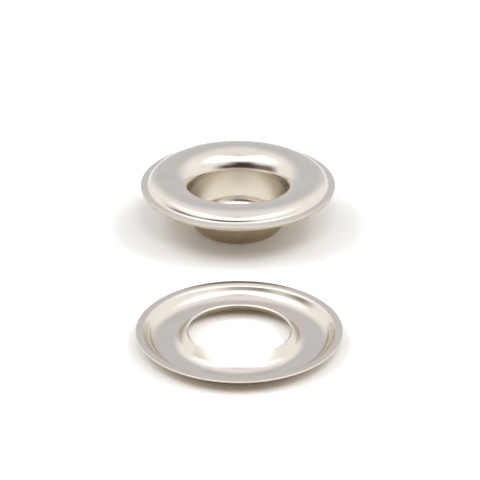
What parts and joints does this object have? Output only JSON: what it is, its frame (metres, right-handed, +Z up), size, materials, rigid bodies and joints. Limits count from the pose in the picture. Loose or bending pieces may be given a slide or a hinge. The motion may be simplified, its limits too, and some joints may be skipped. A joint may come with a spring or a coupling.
{
  "type": "grommet eyelet",
  "caption": "Sheet-metal grommet before setting: a flanged eyelet with a rolled crown and a straight barrel that curls in at its end, and the troughed washer that clamps cloth against it.",
  "frame": {"origin": "on the floor, midway between the eyelet's axis and the washer's axis", "axes": "+Z up along both pieces' axes; +Y from the washer to the eyelet; +X to the right as seen from the washer's side"},
  "size_m": [0.02, 0.045, 0.0057],
  "materials": {
    "eyelet_plate": "bright nickel plate, slightly soft reflections",
    "washer_plate": "bright nickel plate, slightly soft reflections"
  },
  "bodies": {
    "root": {"eyelet": "eyelet_plate", "washer": "washer_plate"}
  },
  "joints": []
}
